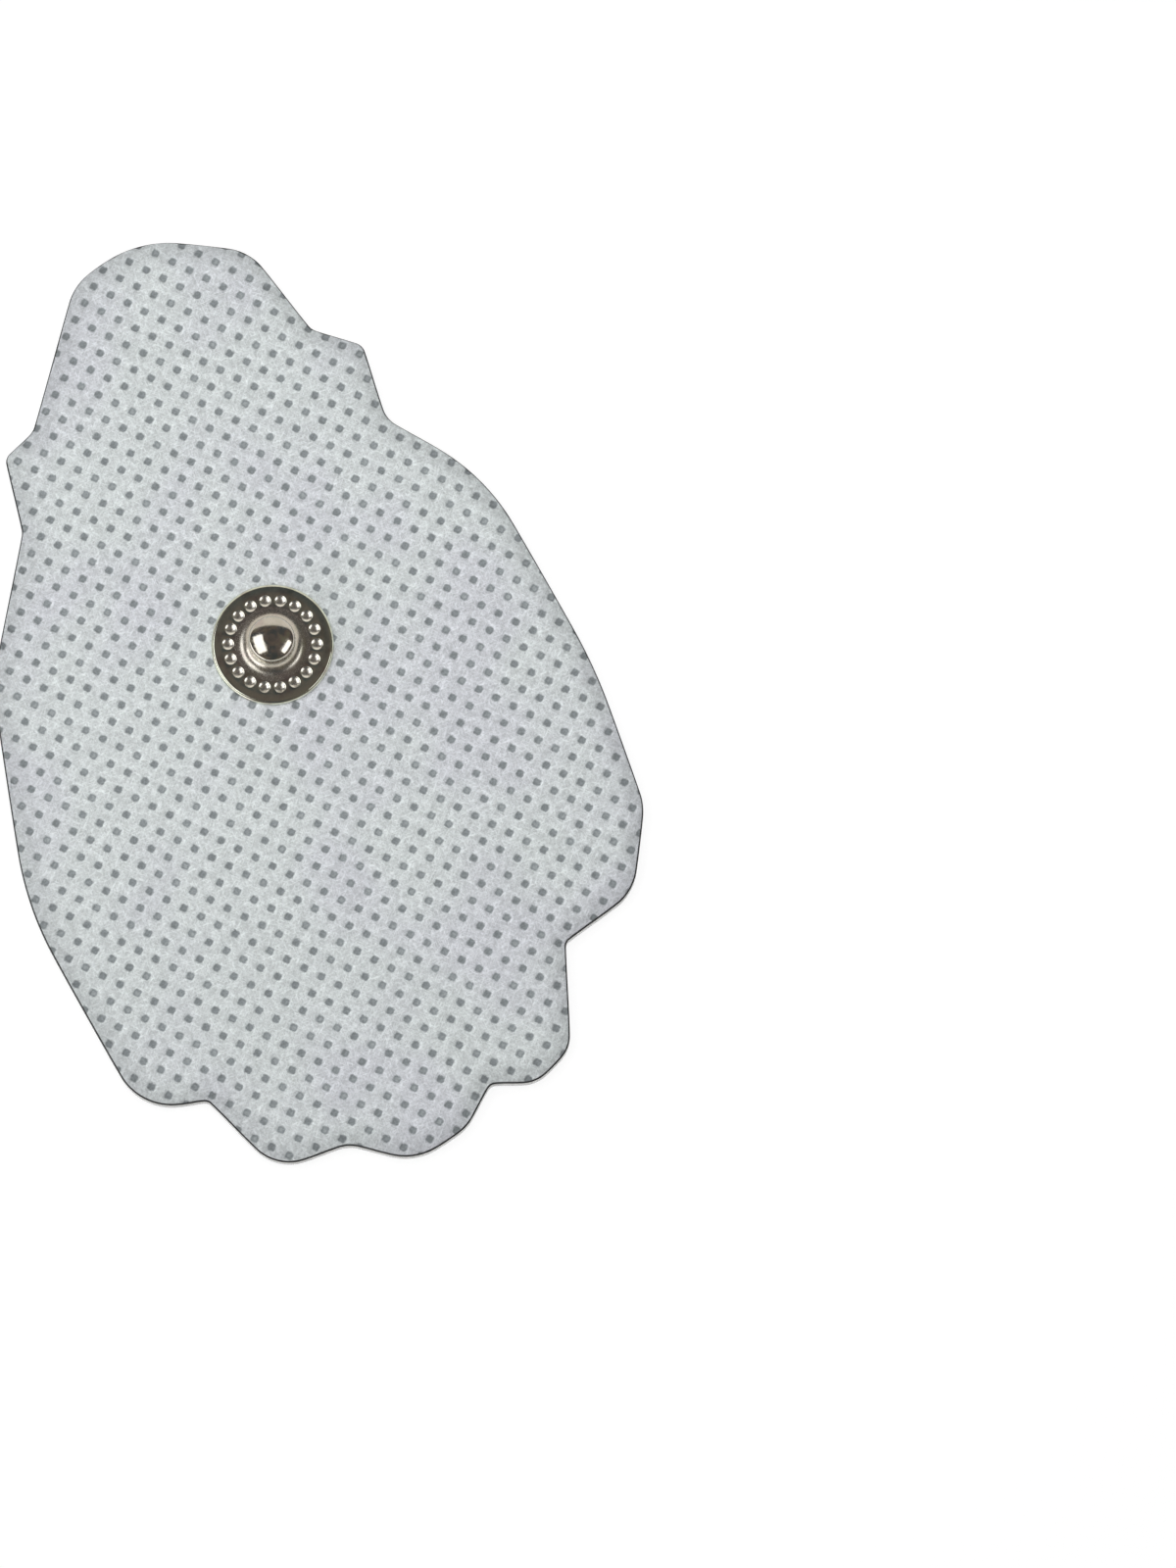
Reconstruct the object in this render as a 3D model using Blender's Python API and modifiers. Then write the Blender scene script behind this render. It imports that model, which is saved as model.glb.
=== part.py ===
"""A self-adhesive snap-on electrode pad for a nerve stimulator, at its real size.

The pad lies face up on its release liner. The origin is on the axis of the snap, on the liner's
underside. +Z is up, and +Y points to the narrow end of the pad. From the bottom the layers are
the release liner, the hydrogel, the carbon film and the fabric backing. The snap is two pieces
of stamped sheet metal: a stud on top, and an eyelet whose tube is flared inside the stud's head.
"""

import math

import bmesh
import bpy
from mathutils import Matrix, Vector

MM = 0.001

# Outline of the die-cut pad: each corner of a polygon around it, with the radius that rounds it.
# The corners run counter-clockwise from the crown. The polygon is drawn in millimetres from the
# axis of the snap, and it is brought to the width and length given here.
PAD_WIDTH = 52.4 * MM
PAD_LENGTH = 82.1 * MM
OUTLINE_CORNERS = [
    (-4.1, 36.8, 9.5),  # crown
    (-10.1, 34.0, 5.0),
    (-16.0, 22.2, 2.0),  # valley above the left shoulder
    (-18.8, 20.5, 1.0),  # left shoulder
    (-18.6, 13.9, 2.0),
    (-23.7, 1.7, 12.0),  # left side
    (-24.7, -17.5, 28.0),
    (-18.8, -36.4, 5.0),  # first bottom lobe
    (-13.1, -36.6, 0.8),  # valley
    (-8.7, -43.6, 4.0),  # second bottom lobe
    (-2.4, -42.6, 3.0),  # shallow valley
    (2.8, -45.3, 5.0),  # third bottom lobe
    (7.6, -43.3, 4.0),
    (10.2, -40.1, 0.8),  # valley
    (14.0, -40.9, 3.0),  # fourth bottom lobe
    (17.4, -38.6, 3.0),
    (18.8, -29.7, 0.8),  # deep valley on the right
    (25.3, -26.8, 4.5),  # thumb lobe
    (27.7, -19.7, 5.0),
    (26.1, -7.2, 45.0),  # right side
    (20.5, 10.8, 18.0),
    (13.3, 17.1, 2.5),  # valley under the right shoulder
    (12.7, 23.8, 1.2),  # right shoulder
    (8.7, 26.0, 1.5),  # valley above the right shoulder
    (5.0, 33.8, 4.5),
]
OUTLINE_TOLERANCE = 0.03 * MM  # how far a facet may lie off a round stretch of the outline

# Layers, from the bottom up
LINER_THICKNESS = 0.10 * MM
GEL_THICKNESS = 0.90 * MM
FILM_THICKNESS = 0.10 * MM
FABRIC_THICKNESS = 0.45 * MM
BOND_GAP = 0.10 * MM  # stands for the adhesive coat between two layers
FABRIC_INSET = 0.12 * MM  # the fabric's edge lies this far inside the film's

# Emboss of the fabric: a lattice of bond pits
BOND_PITCH_ACROSS = 1.61 * MM
BOND_PITCH_ALONG = 1.63 * MM
BOND_DIRECTION = math.radians(-38.7)
BOND_SKEW = math.radians(1.5)
BOND_NEAREST_SNAP = (-0.81 * MM, 0.11 * MM)
BOND_DEPTH = 0.20 * MM

# Snap stud
STUD_SHEET = 0.25 * MM
HEAD_RADIUS = 1.95 * MM
HEAD_HEIGHT = 2.80 * MM
CROWN_RADIUS = 4.20 * MM
CROWN_FLAT_RADIUS = 0.60 * MM
SHOULDER_BEND = 0.10 * MM
UNDERCUT_ANGLE = math.radians(40.0)
NECK_RADIUS = 1.65 * MM
NECK_BEND = 1.25 * MM
FLANGE_RADIUS = 5.15 * MM
RIM_BEND = 0.05 * MM
RIM_DROP = 0.15 * MM  # straight part of the rim, below its bend
SEAT_GAP = 0.10 * MM  # between the snap's metal and the sheets that it grips

# Pearls pressed into the flange
PEARL_COUNT = 18
PEARL_CIRCLE_RADIUS = 3.73 * MM
PEARL_RADIUS = 0.50 * MM
PEARL_DEPTH = 0.17 * MM
PEARL_START = math.radians(68.0)

# Snap eyelet and its cover
EYELET_RADIUS = 4.50 * MM
EYELET_SHEET = 0.20 * MM
EYELET_BEND = 0.10 * MM
POST_CLEARANCE = 0.30 * MM  # between the post and the inside of the stud's neck
HOLE_CLEARANCE = 0.30 * MM  # between the post and the holes in the film and fabric
FLARE_CLEARANCE = 0.15 * MM  # between the flared post and the inside of the head
COVER_RADIUS = 6.00 * MM
COVER_THICKNESS = 0.10 * MM
POCKET_CLEARANCE = 0.30 * MM

# Facets of the round pieces
SNAP_STEPS = 32
SNAP_TOLERANCE = 0.016 * MM  # how far a facet may lie off a bend of the snap's section
COVER_SIDES = 40
HOLE_SIDES = 32
PEARL_SIDES = 12
MERGE_DISTANCE = 0.001 * MM

# Heights of the layers and of the snap, worked out from the sizes above
GEL_BOTTOM = LINER_THICKNESS + BOND_GAP
GEL_TOP = GEL_BOTTOM + GEL_THICKNESS
FILM_BOTTOM = GEL_TOP + BOND_GAP
FABRIC_BOTTOM = FILM_BOTTOM + FILM_THICKNESS + BOND_GAP
FABRIC_TOP = FABRIC_BOTTOM + FABRIC_THICKNESS
RIM_BOTTOM = FABRIC_TOP + SEAT_GAP
RIM_OUTER_BEND = RIM_BEND + STUD_SHEET
FLANGE_TOP = RIM_BOTTOM + RIM_DROP + RIM_OUTER_BEND
EYELET_TOP = FILM_BOTTOM - SEAT_GAP
EYELET_BOTTOM = EYELET_TOP - EYELET_SHEET
COVER_TOP = EYELET_BOTTOM - BOND_GAP
COVER_BOTTOM = COVER_TOP - COVER_THICKNESS
POCKET_FLOOR = COVER_BOTTOM - BOND_GAP
POST_RADIUS = NECK_RADIUS - STUD_SHEET - POST_CLEARANCE
HOLE_RADIUS = POST_RADIUS + HOLE_CLEARANCE


def clear_scene():
    """Remove whatever the scene holds."""
    for obj in list(bpy.data.objects):
        bpy.data.objects.remove(obj, do_unlink=True)


def new_collection(name):
    """A collection linked to the scene."""
    collection = bpy.data.collections.new(name)
    bpy.context.scene.collection.children.link(collection)
    return collection


def add_object(name, data, collection, parent=None):
    """An object of this data in a collection, carried by the parent."""
    obj = bpy.data.objects.new(name, data)
    collection.objects.link(obj)
    obj.parent = parent
    return obj


def as_cutter(obj):
    """Keep a Boolean's operand out of the render."""
    obj.hide_render = True
    obj.display_type = "WIRE"
    return obj


def dress(obj, name, color, roughness, metallic=0.0, alpha=1.0):
    """Give an object its own Principled material."""
    material = bpy.data.materials.new(name)
    material.use_nodes = True
    shader = material.node_tree.nodes["Principled BSDF"]
    shader.inputs["Base Color"].default_value = (*color, 1.0)
    shader.inputs["Roughness"].default_value = roughness
    shader.inputs["Metallic"].default_value = metallic
    shader.inputs["Alpha"].default_value = alpha
    material.diffuse_color = (*color, alpha)
    obj.data.materials.append(material)


def boolean(obj, operand, operation):
    """Add an exact Boolean modifier."""
    modifier = obj.modifiers.new(f"{operation.lower()} {operand.name}", "BOOLEAN")
    modifier.operation = operation
    modifier.object = operand


def polar(centre, radius, angle):
    """The point at an angle on a circle."""
    return (centre[0] + radius * math.cos(angle), centre[1] + radius * math.sin(angle))


def arc(centre, radius, start, end, tolerance):
    """Points of an arc from one angle to another, both ends included."""
    step = 2 * math.acos(1 - tolerance / max(radius, tolerance))
    steps = max(1, math.ceil(abs(end - start) / step))
    return [polar(centre, radius, start + (end - start) * index / steps) for index in range(steps + 1)]


def rounded_corner(before, corner, after, fillet, inset):
    """The arc that rounds one corner of the outline, moved inwards by the inset."""
    here = Vector(corner)
    back = (Vector(before) - here).normalized()
    ahead = (Vector(after) - here).normalized()
    half_angle = back.angle(ahead) / 2
    centre = here + (back + ahead).normalized() * fillet / math.sin(half_angle)
    start = here + back * fillet / math.tan(half_angle) - centre
    turn = math.pi - 2 * half_angle
    convex = back.x * ahead.y - back.y * ahead.x < 0
    radius = fillet - inset if convex else fillet + inset
    first = math.atan2(start.y, start.x)
    last = first + turn if convex else first - turn
    return arc(centre, radius, first, last, OUTLINE_TOLERANCE)


def pad_outline(inset=0.0):
    """The rounded outline of the pad, counter-clockwise, moved inwards by the inset."""
    drawn_x, drawn_y, drawn_fillets = zip(*OUTLINE_CORNERS)
    across = PAD_WIDTH / (max(drawn_x) - min(drawn_x))
    along = PAD_LENGTH / (max(drawn_y) - min(drawn_y))
    corners = [(x * across, y * along) for x, y in zip(drawn_x, drawn_y)]
    fillets = [fillet * min(across, along) for fillet in drawn_fillets]
    points = []
    for index, fillet in enumerate(fillets):
        before, after = corners[index - 1], corners[(index + 1) % len(corners)]
        points += rounded_corner(before, corners[index], after, fillet, inset)
    return points


def circle(radius, sides):
    """Points of a circle about the axis of the snap."""
    return [polar((0.0, 0.0), radius, 2 * math.pi * index / sides) for index in range(sides)]


def sheet(name, loops, bottom, thickness, collection, parent=None):
    """A flat sheet with straight edges: the first loop is its outline, and any others are holes."""
    curve = bpy.data.curves.new(name, "CURVE")
    curve.dimensions = "2D"
    curve.fill_mode = "BOTH"
    curve.extrude = thickness / 2
    for loop in loops:
        spline = curve.splines.new("POLY")
        spline.points.add(len(loop) - 1)
        for point, (x, y) in zip(spline.points, loop):
            point.co = (x, y, 0.0, 1.0)
        spline.use_cyclic_u = True
    drawn = add_object(name + "_curve", curve, collection)
    drawn.location.z = bottom + thickness / 2
    bpy.context.view_layer.update()
    evaluated = drawn.evaluated_get(bpy.context.evaluated_depsgraph_get())
    mesh = bpy.data.meshes.new_from_object(evaluated)
    mesh.name = name
    solid = add_object(name, mesh, collection, parent)
    solid.matrix_world = drawn.matrix_world
    bpy.data.objects.remove(drawn, do_unlink=True)
    shape = bmesh.new()
    shape.from_mesh(mesh)
    bmesh.ops.remove_doubles(shape, verts=shape.verts, dist=MERGE_DISTANCE)
    bmesh.ops.recalc_face_normals(shape, faces=shape.faces)
    shape.to_mesh(mesh)
    shape.free()
    return solid


def turned(name, profile, closed, collection, parent=None):
    """A profile in the XZ plane turned about the axis of the snap."""
    mesh = bpy.data.meshes.new(name)
    edges = [(index, index + 1) for index in range(len(profile) - 1)]
    if closed:
        edges.append((len(profile) - 1, 0))
    mesh.from_pydata([(r, 0.0, z) for r, z in profile], edges, [])
    obj = add_object(name, mesh, collection, parent)
    screw = obj.modifiers.new("turn", "SCREW")
    screw.axis = "Z"
    screw.steps = screw.render_steps = SNAP_STEPS
    screw.use_merge_vertices = True
    screw.merge_threshold = MERGE_DISTANCE
    screw.use_smooth_shade = True
    return obj


def embossed_block(collection):
    """A block over the whole pad whose top is the fabric's embossed face: a pit at each bond."""
    reach = 2 * max(math.hypot(x, y) for x, y in pad_outline())
    cells = 2 * math.ceil(reach / (2 * min(BOND_PITCH_ACROSS, BOND_PITCH_ALONG))) + 1
    shape = bmesh.new()
    bmesh.ops.create_grid(shape, x_segments=cells, y_segments=cells, size=cells / 2)
    bottom_edges = [edge for edge in shape.edges if edge.is_boundary]
    pits = bmesh.ops.poke(shape, faces=shape.faces)["verts"]
    for pit in pits:
        pit.co.z = -BOND_DEPTH
    skirt = bmesh.ops.extrude_edge_only(shape, edges=bottom_edges)["geom"]
    lower = [vertex for vertex in skirt if isinstance(vertex, bmesh.types.BMVert)]
    bmesh.ops.translate(shape, verts=lower, vec=(0.0, 0.0, -2 * FABRIC_THICKNESS))
    rim = [edge for edge in skirt if isinstance(edge, bmesh.types.BMEdge)]
    bmesh.ops.edgeloop_fill(shape, edges=[edge for edge in rim if edge.is_boundary])
    along_direction = BOND_DIRECTION + math.pi / 2 - BOND_SKEW
    lattice = Matrix.Identity(4)
    lattice.col[0].xy = polar((0.0, 0.0), BOND_PITCH_ACROSS, BOND_DIRECTION)
    lattice.col[1].xy = polar((0.0, 0.0), BOND_PITCH_ALONG, along_direction)
    lattice.translation = (*BOND_NEAREST_SNAP, FABRIC_TOP)
    bmesh.ops.transform(shape, matrix=lattice, verts=shape.verts)
    bmesh.ops.recalc_face_normals(shape, faces=shape.faces)
    mesh = bpy.data.meshes.new("emboss")
    shape.to_mesh(mesh)
    shape.free()
    return as_cutter(add_object("emboss", mesh, collection))


def pearls(name, height, collection):
    """A ring of shallow double cones about the axis of the snap."""
    shape = bmesh.new()
    for index in range(PEARL_COUNT):
        angle = PEARL_START + index * 2 * math.pi / PEARL_COUNT
        x, y = PEARL_CIRCLE_RADIUS * math.cos(angle), PEARL_CIRCLE_RADIUS * math.sin(angle)
        place = Matrix.Translation((x, y, height)) @ Matrix.Rotation(angle, 4, "Z")
        place = place @ Matrix.Diagonal((PEARL_RADIUS, PEARL_RADIUS, PEARL_DEPTH, 1.0))
        # A sphere of two rings is a double cone
        bmesh.ops.create_uvsphere(shape, u_segments=PEARL_SIDES, v_segments=2, radius=1.0, matrix=place)
    mesh = bpy.data.meshes.new(name)
    shape.to_mesh(mesh)
    shape.free()
    return as_cutter(add_object(name, mesh, collection))


class HeadBend:
    """Where the stud's crown bends round into its undercut: one centre for the bend's both faces."""

    def __init__(self):
        self.crown_centre = (0.0, FLANGE_TOP + HEAD_HEIGHT - CROWN_RADIUS)
        self.outer = SHOULDER_BEND + STUD_SHEET
        r = HEAD_RADIUS - self.outer
        self.crown_angle = math.acos(r / (CROWN_RADIUS - self.outer))
        self.centre = polar(self.crown_centre, CROWN_RADIUS - self.outer, self.crown_angle)

    def neck_top(self, bend, neck_radius):
        """Where the straight undercut that leaves a bend meets the neck."""
        r, z = polar(self.centre, bend, -UNDERCUT_ANGLE)
        return (neck_radius, z - (r - neck_radius) / math.tan(UNDERCUT_ANGLE))


def stud_profile():
    """The stud's section, from the top of the head down its outside and back up its inside."""
    head = HeadBend()
    flat_angle = math.acos(CROWN_FLAT_RADIUS / CROWN_RADIUS)
    neck_centre = (NECK_RADIUS + NECK_BEND, FLANGE_TOP + NECK_BEND)
    rim_centre = (FLANGE_RADIUS - RIM_OUTER_BEND, FLANGE_TOP - RIM_OUTER_BEND)
    east, north, west, south = 0.0, math.pi / 2, math.pi, 3 * math.pi / 2

    outside = [(0.0, polar(head.crown_centre, CROWN_RADIUS, flat_angle)[1])]
    outside += arc(head.crown_centre, CROWN_RADIUS, flat_angle, head.crown_angle, SNAP_TOLERANCE)
    outside += arc(head.centre, head.outer, head.crown_angle, -UNDERCUT_ANGLE, SNAP_TOLERANCE)[1:]
    outside.append(head.neck_top(head.outer, NECK_RADIUS))
    outside += arc(neck_centre, NECK_BEND, west, south, SNAP_TOLERANCE)
    outside += arc(rim_centre, RIM_OUTER_BEND, north, east, SNAP_TOLERANCE)
    outside.append((FLANGE_RADIUS, RIM_BOTTOM))

    inside = [(FLANGE_RADIUS - STUD_SHEET, RIM_BOTTOM)]
    inside += arc(rim_centre, RIM_BEND, east, north, SNAP_TOLERANCE)
    inside += arc(neck_centre, NECK_BEND + STUD_SHEET, south, west, SNAP_TOLERANCE)
    inside.append(head.neck_top(SHOULDER_BEND, NECK_RADIUS - STUD_SHEET))
    inside += arc(head.centre, SHOULDER_BEND, -UNDERCUT_ANGLE, head.crown_angle, SNAP_TOLERANCE)
    inside_crown = CROWN_RADIUS - STUD_SHEET
    inside += arc(head.crown_centre, inside_crown, head.crown_angle, north, SNAP_TOLERANCE)[1:-1]
    inside.append((0.0, head.crown_centre[1] + inside_crown))
    return outside + inside


def eyelet_profile():
    """The eyelet's section: its tube from the flare down, its disc, and back up the bore."""
    head = HeadBend()
    flare_radius = HEAD_RADIUS - STUD_SHEET - FLARE_CLEARANCE
    flare_top = head.centre[1]
    flare_bottom = flare_top - (flare_radius - POST_RADIUS)
    bend_centre = (POST_RADIUS + EYELET_BEND, EYELET_TOP + EYELET_BEND)
    bore = POST_RADIUS - EYELET_SHEET
    # The flare leans out at 45 degrees, and its two faces are one sheet apart
    lean = math.pi / 4
    knee = EYELET_SHEET * math.tan(lean / 2)
    west, south = math.pi, 3 * math.pi / 2

    outside = [(flare_radius, flare_top), (POST_RADIUS, flare_bottom)]
    outside += arc(bend_centre, EYELET_BEND, west, south, SNAP_TOLERANCE)
    outside.append((EYELET_RADIUS, EYELET_TOP))
    inside = [(EYELET_RADIUS, EYELET_BOTTOM)]
    inside += arc(bend_centre, EYELET_BEND + EYELET_SHEET, south, west, SNAP_TOLERANCE)
    inside.append((bore, flare_bottom + knee))
    inside.append(polar((flare_radius, flare_top), EYELET_SHEET, math.pi - lean))
    return outside + inside


def build_layers(parts, cutters, root):
    """The four sheets of the pad, from the liner up to the fabric."""
    edge = pad_outline()
    hole = circle(HOLE_RADIUS, HOLE_SIDES)
    liner = sheet("release_liner", [edge], 0.0, LINER_THICKNESS, parts, root)
    dress(liner, "clear film", (0.86, 0.88, 0.88), 0.12, alpha=0.4)

    gel = sheet("hydrogel", [edge], GEL_BOTTOM, GEL_THICKNESS, parts, root)
    room = circle(COVER_RADIUS + POCKET_CLEARANCE, COVER_SIDES)
    pocket = sheet("pocket", [room], POCKET_FLOOR, GEL_THICKNESS, cutters)
    boolean(gel, as_cutter(pocket), "DIFFERENCE")
    dress(gel, "hydrogel", (0.78, 0.76, 0.68), 0.18, alpha=0.7)

    film = sheet("carbon_film", [edge, hole], FILM_BOTTOM, FILM_THICKNESS, parts, root)
    dress(film, "carbon film", (0.02, 0.02, 0.022), 0.55)

    face = [pad_outline(FABRIC_INSET), hole]
    fabric = sheet("fabric_backing", face, FABRIC_BOTTOM, 2 * FABRIC_THICKNESS, parts, root)
    boolean(fabric, embossed_block(cutters), "INTERSECT")
    dress(fabric, "nonwoven", (0.64, 0.69, 0.71), 0.85)


def build_snap(parts, cutters, root):
    """The stud, the eyelet that holds it and the eyelet's cover."""
    stud = turned("snap_stud", stud_profile(), False, parts, root)
    # Each pearl is pressed through the flange: a pit on top, and a tooth as deep underneath
    boolean(stud, pearls("pearl_teeth", FLANGE_TOP - STUD_SHEET, cutters), "UNION")
    boolean(stud, pearls("pearl_pits", FLANGE_TOP, cutters), "DIFFERENCE")
    dress(stud, "nickel plate", (0.36, 0.34, 0.31), 0.22, metallic=1.0)

    eyelet = turned("snap_eyelet", eyelet_profile(), True, parts, root)
    dress(eyelet, "nickel plate, inside", (0.42, 0.40, 0.37), 0.30, metallic=1.0)

    disc = circle(COVER_RADIUS, COVER_SIDES)
    cover = sheet("eyelet_cover", [disc], COVER_BOTTOM, COVER_THICKNESS, parts, root)
    dress(cover, "white patch", (0.80, 0.80, 0.78), 0.45)


def main():
    clear_scene()
    parts = new_collection("tens_electrode_pad")
    cutters = new_collection("cutters")
    root = bpy.data.objects.new("pad_frame", None)
    parts.objects.link(root)
    build_layers(parts, cutters, root)
    build_snap(parts, cutters, root)


main()
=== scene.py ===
"""The looks of a self-adhesive snap-on electrode pad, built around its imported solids.

The pad lies face up on its release liner. From the bottom the layers are the liner, the hydrogel,
the carbon film and the embossed nonwoven face. A nickel-plated stud stands in the middle. Sizes are
in metres, and heights and outlines are read from the frame.
"""

import logging
import math
from collections.abc import Callable
from dataclasses import dataclass, field
from enum import Enum

import bpy
import numpy as np
from mathutils import Matrix, Vector, noise
from mathutils.geometry import delaunay_2d_cdt

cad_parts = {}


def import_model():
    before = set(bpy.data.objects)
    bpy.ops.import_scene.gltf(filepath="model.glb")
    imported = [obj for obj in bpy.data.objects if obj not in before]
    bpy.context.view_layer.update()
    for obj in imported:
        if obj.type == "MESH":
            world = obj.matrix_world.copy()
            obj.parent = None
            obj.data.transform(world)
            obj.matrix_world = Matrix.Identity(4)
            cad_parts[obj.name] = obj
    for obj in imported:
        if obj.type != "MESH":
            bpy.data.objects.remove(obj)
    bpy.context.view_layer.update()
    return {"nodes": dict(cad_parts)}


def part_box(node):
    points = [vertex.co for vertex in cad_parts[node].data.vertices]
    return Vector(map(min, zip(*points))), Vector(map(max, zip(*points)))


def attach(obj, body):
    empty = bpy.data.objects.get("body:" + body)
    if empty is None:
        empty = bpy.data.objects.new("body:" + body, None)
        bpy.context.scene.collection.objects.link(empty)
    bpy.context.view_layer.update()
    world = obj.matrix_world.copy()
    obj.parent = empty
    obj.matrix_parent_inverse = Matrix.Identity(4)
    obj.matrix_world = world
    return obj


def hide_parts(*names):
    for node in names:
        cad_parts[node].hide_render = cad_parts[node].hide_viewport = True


MM = 0.001
ROOT = "root"
MERGE_DISTANCE = 0.0005 * MM
INSET = "inset"
BORE_SIDES = 48
WHITE = (1.0, 1.0, 1.0, 1.0)

log = logging.getLogger("electrode_pad")

Colour = tuple[float, float, float]
Pair = tuple[float, float]
Socket = bpy.types.NodeSocket
Material = bpy.types.Material
Object = bpy.types.Object


class Layer(Enum):
    """The solids of the frame, by node name."""

    LINER = "release_liner"
    GEL = "hydrogel"
    FILM = "carbon_film"
    FABRIC = "fabric_backing"
    STUD = "snap_stud"
    EYELET = "snap_eyelet"
    COVER = "eyelet_cover"


class Slot(Enum):
    """The record's material slots, by name."""

    NONWOVEN = "nonwoven"
    FILM = "carbon_film"
    GEL = "hydrogel"
    LINER = "release_liner"
    NICKEL = "nickel_plate"


# Node graphs


class Tree:
    """The nodes of one node tree, added one at a time.

    Args:
        tree: The node tree of a material or of the world.
    """

    def __init__(self, tree: bpy.types.NodeTree) -> None:
        self.nodes = tree.nodes
        self.links = tree.links

    def put(self, socket: Socket, value: object) -> None:
        """Set a socket to a value, or link another node's output to it."""
        if isinstance(value, Socket):
            self.links.new(value, socket)
        else:
            socket.default_value = value

    def add(self, kind: str, inputs: dict | None = None, **settings: object) -> bpy.types.Node:
        """Add a node.

        Args:
            kind: The node's type name.
            inputs: What goes into its sockets, by name or number.
            settings: The node's own properties.

        Returns:
            The new node.
        """
        node = self.nodes.new(kind)
        for key, value in settings.items():
            setattr(node, key, value)
        for key, value in (inputs or {}).items():
            self.put(node.inputs[key], value)
        return node

    def math(self, operation: str, *values: object, clamp: bool = False) -> Socket:
        """Add a Math node and return its output."""
        inputs = dict(enumerate(values))
        return self.add("ShaderNodeMath", inputs, operation=operation, use_clamp=clamp).outputs[0]

    def between(self, value: object, low: float, high: float) -> Socket:
        """A smooth step from 0 where the value is low to 1 where it is high."""
        inputs = {"Value": value, "From Min": low, "From Max": high}
        node = self.add("ShaderNodeMapRange", inputs, interpolation_type="SMOOTHSTEP")
        return node.outputs["Result"]

    def times(self, first: object, second: object) -> Socket:
        """One value times another."""
        return self.math("MULTIPLY", first, second)

    def minus(self, first: object, second: object) -> Socket:
        """One value less another."""
        return self.math("SUBTRACT", first, second)

    def fade(self, value: object, share: float, start: object) -> Socket:
        """A share of the value on top of a start."""
        return self.math("MULTIPLY_ADD", value, share, start)

    def mix(self, share: object, first: object, second: object, blend: str = "MIX") -> Socket:
        """Mix two colours by a share of the second."""
        inputs = {0: share, 6: first, 7: second}
        return self.add("ShaderNodeMix", inputs, data_type="RGBA", blend_type=blend).outputs[2]

    def length(self, point: object) -> Socket:
        """How far a point lies from the origin."""
        return self.add("ShaderNodeVectorMath", {0: point}, operation="LENGTH").outputs["Value"]

    def dot(self, point: object, axis: object) -> Socket:
        """How far a point lies along an axis."""
        inputs = {0: point, 1: axis}
        return self.add("ShaderNodeVectorMath", inputs, operation="DOT_PRODUCT").outputs["Value"]

    def flat(self, first: object, second: object) -> Socket:
        """A point in the plane."""
        return self.add("ShaderNodeCombineXYZ", {0: first, 1: second}).outputs[0]

    def noise(self, point: object, grain: float, detail: float = 2.0) -> Socket:
        """Soft noise whose patches are about one grain across."""
        inputs = {"Vector": point, "Scale": 1.0 / grain, "Detail": detail}
        return self.add("ShaderNodeTexNoise", inputs).outputs["Fac"]


class Graph(Tree):
    """The nodes of one material, with its shader and its output.

    Args:
        name: The material's name.
    """

    def __init__(self, name: str) -> None:
        self.material = bpy.data.materials.new(name)
        self.material.use_nodes = True
        super().__init__(self.material.node_tree)
        self.shader = self.nodes["Principled BSDF"]
        self.output = self.nodes["Material Output"]

    def place(self) -> Socket:
        """The point of the surface, in the object's own metres."""
        return self.add("ShaderNodeTexCoord").outputs["Object"]

    def turned(self, point: object, angle: float, stretch: float) -> Socket:
        """The point in axes turned about Z, for a pattern that is stretched along its second axis."""
        inputs = {"Vector": point, "Rotation": (0.0, 0.0, angle), "Scale": (1.0, stretch, 1.0)}
        return self.add("ShaderNodeMapping", inputs, vector_type="TEXTURE").outputs[0]

    def bump(self, height: object, depth: float) -> Socket:
        """A bump of a real depth."""
        return self.add("ShaderNodeBump", {"Height": height, "Distance": depth}).outputs[0]

    def set(self, **sockets: object) -> None:
        """Set sockets of the shader, with their names in small letters and underscores."""
        for key, value in sockets.items():
            name = key.replace("_", " ").title().replace("Ior", "IOR")
            self.put(self.shader.inputs[name], value)


def rgba(colour: Colour) -> tuple[float, float, float, float]:
    """A colour with full alpha."""
    return (*colour, 1.0)


# Measures taken from the frame


@dataclass(frozen=True)
class Lattice:
    """The lattice of bonds pressed into the nonwoven."""

    pitch_across: float = 1.61 * MM
    pitch_along: float = 1.63 * MM
    direction: float = math.radians(-38.7)
    skew: float = math.radians(1.5)
    nearest_snap: Pair = (-0.81 * MM, 0.11 * MM)
    half_width: float = 0.325 * MM
    roundness: float = 3.6

    def matrix(self) -> np.ndarray:
        """The two steps of the lattice, as columns."""
        along = self.direction + math.pi / 2 - self.skew
        across_step = (math.cos(self.direction), math.sin(self.direction))
        along_step = (math.cos(along), math.sin(along))
        steps = np.array([across_step, along_step]).T
        return steps * np.array([self.pitch_across, self.pitch_along])

    def cells(self, points: np.ndarray) -> np.ndarray:
        """Where points lie on the lattice, in cells."""
        return (points - np.array(self.nearest_snap)) @ np.linalg.inv(self.matrix()).T

    def from_bond(self, points: np.ndarray) -> np.ndarray:
        """How far points lie from the middle of the nearest bond, on a scale of rounded squares."""
        cells = self.cells(points)
        off = np.abs(cells - np.round(cells)) * np.array([self.pitch_across, self.pitch_along])
        return (off**self.roundness).sum(axis=1) ** (1.0 / self.roundness)


def merged_copy(node: Object) -> bpy.types.Mesh:
    """A copy of a solid's mesh whose loose triangles are joined."""
    mesh = node.data.copy()
    holder = new_object("copy", mesh)
    enter_edit(holder)
    bpy.ops.mesh.select_all(action="SELECT")
    bpy.ops.mesh.remove_doubles(threshold=MERGE_DISTANCE)
    leave_edit()
    bpy.data.objects.remove(holder)
    return mesh


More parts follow.
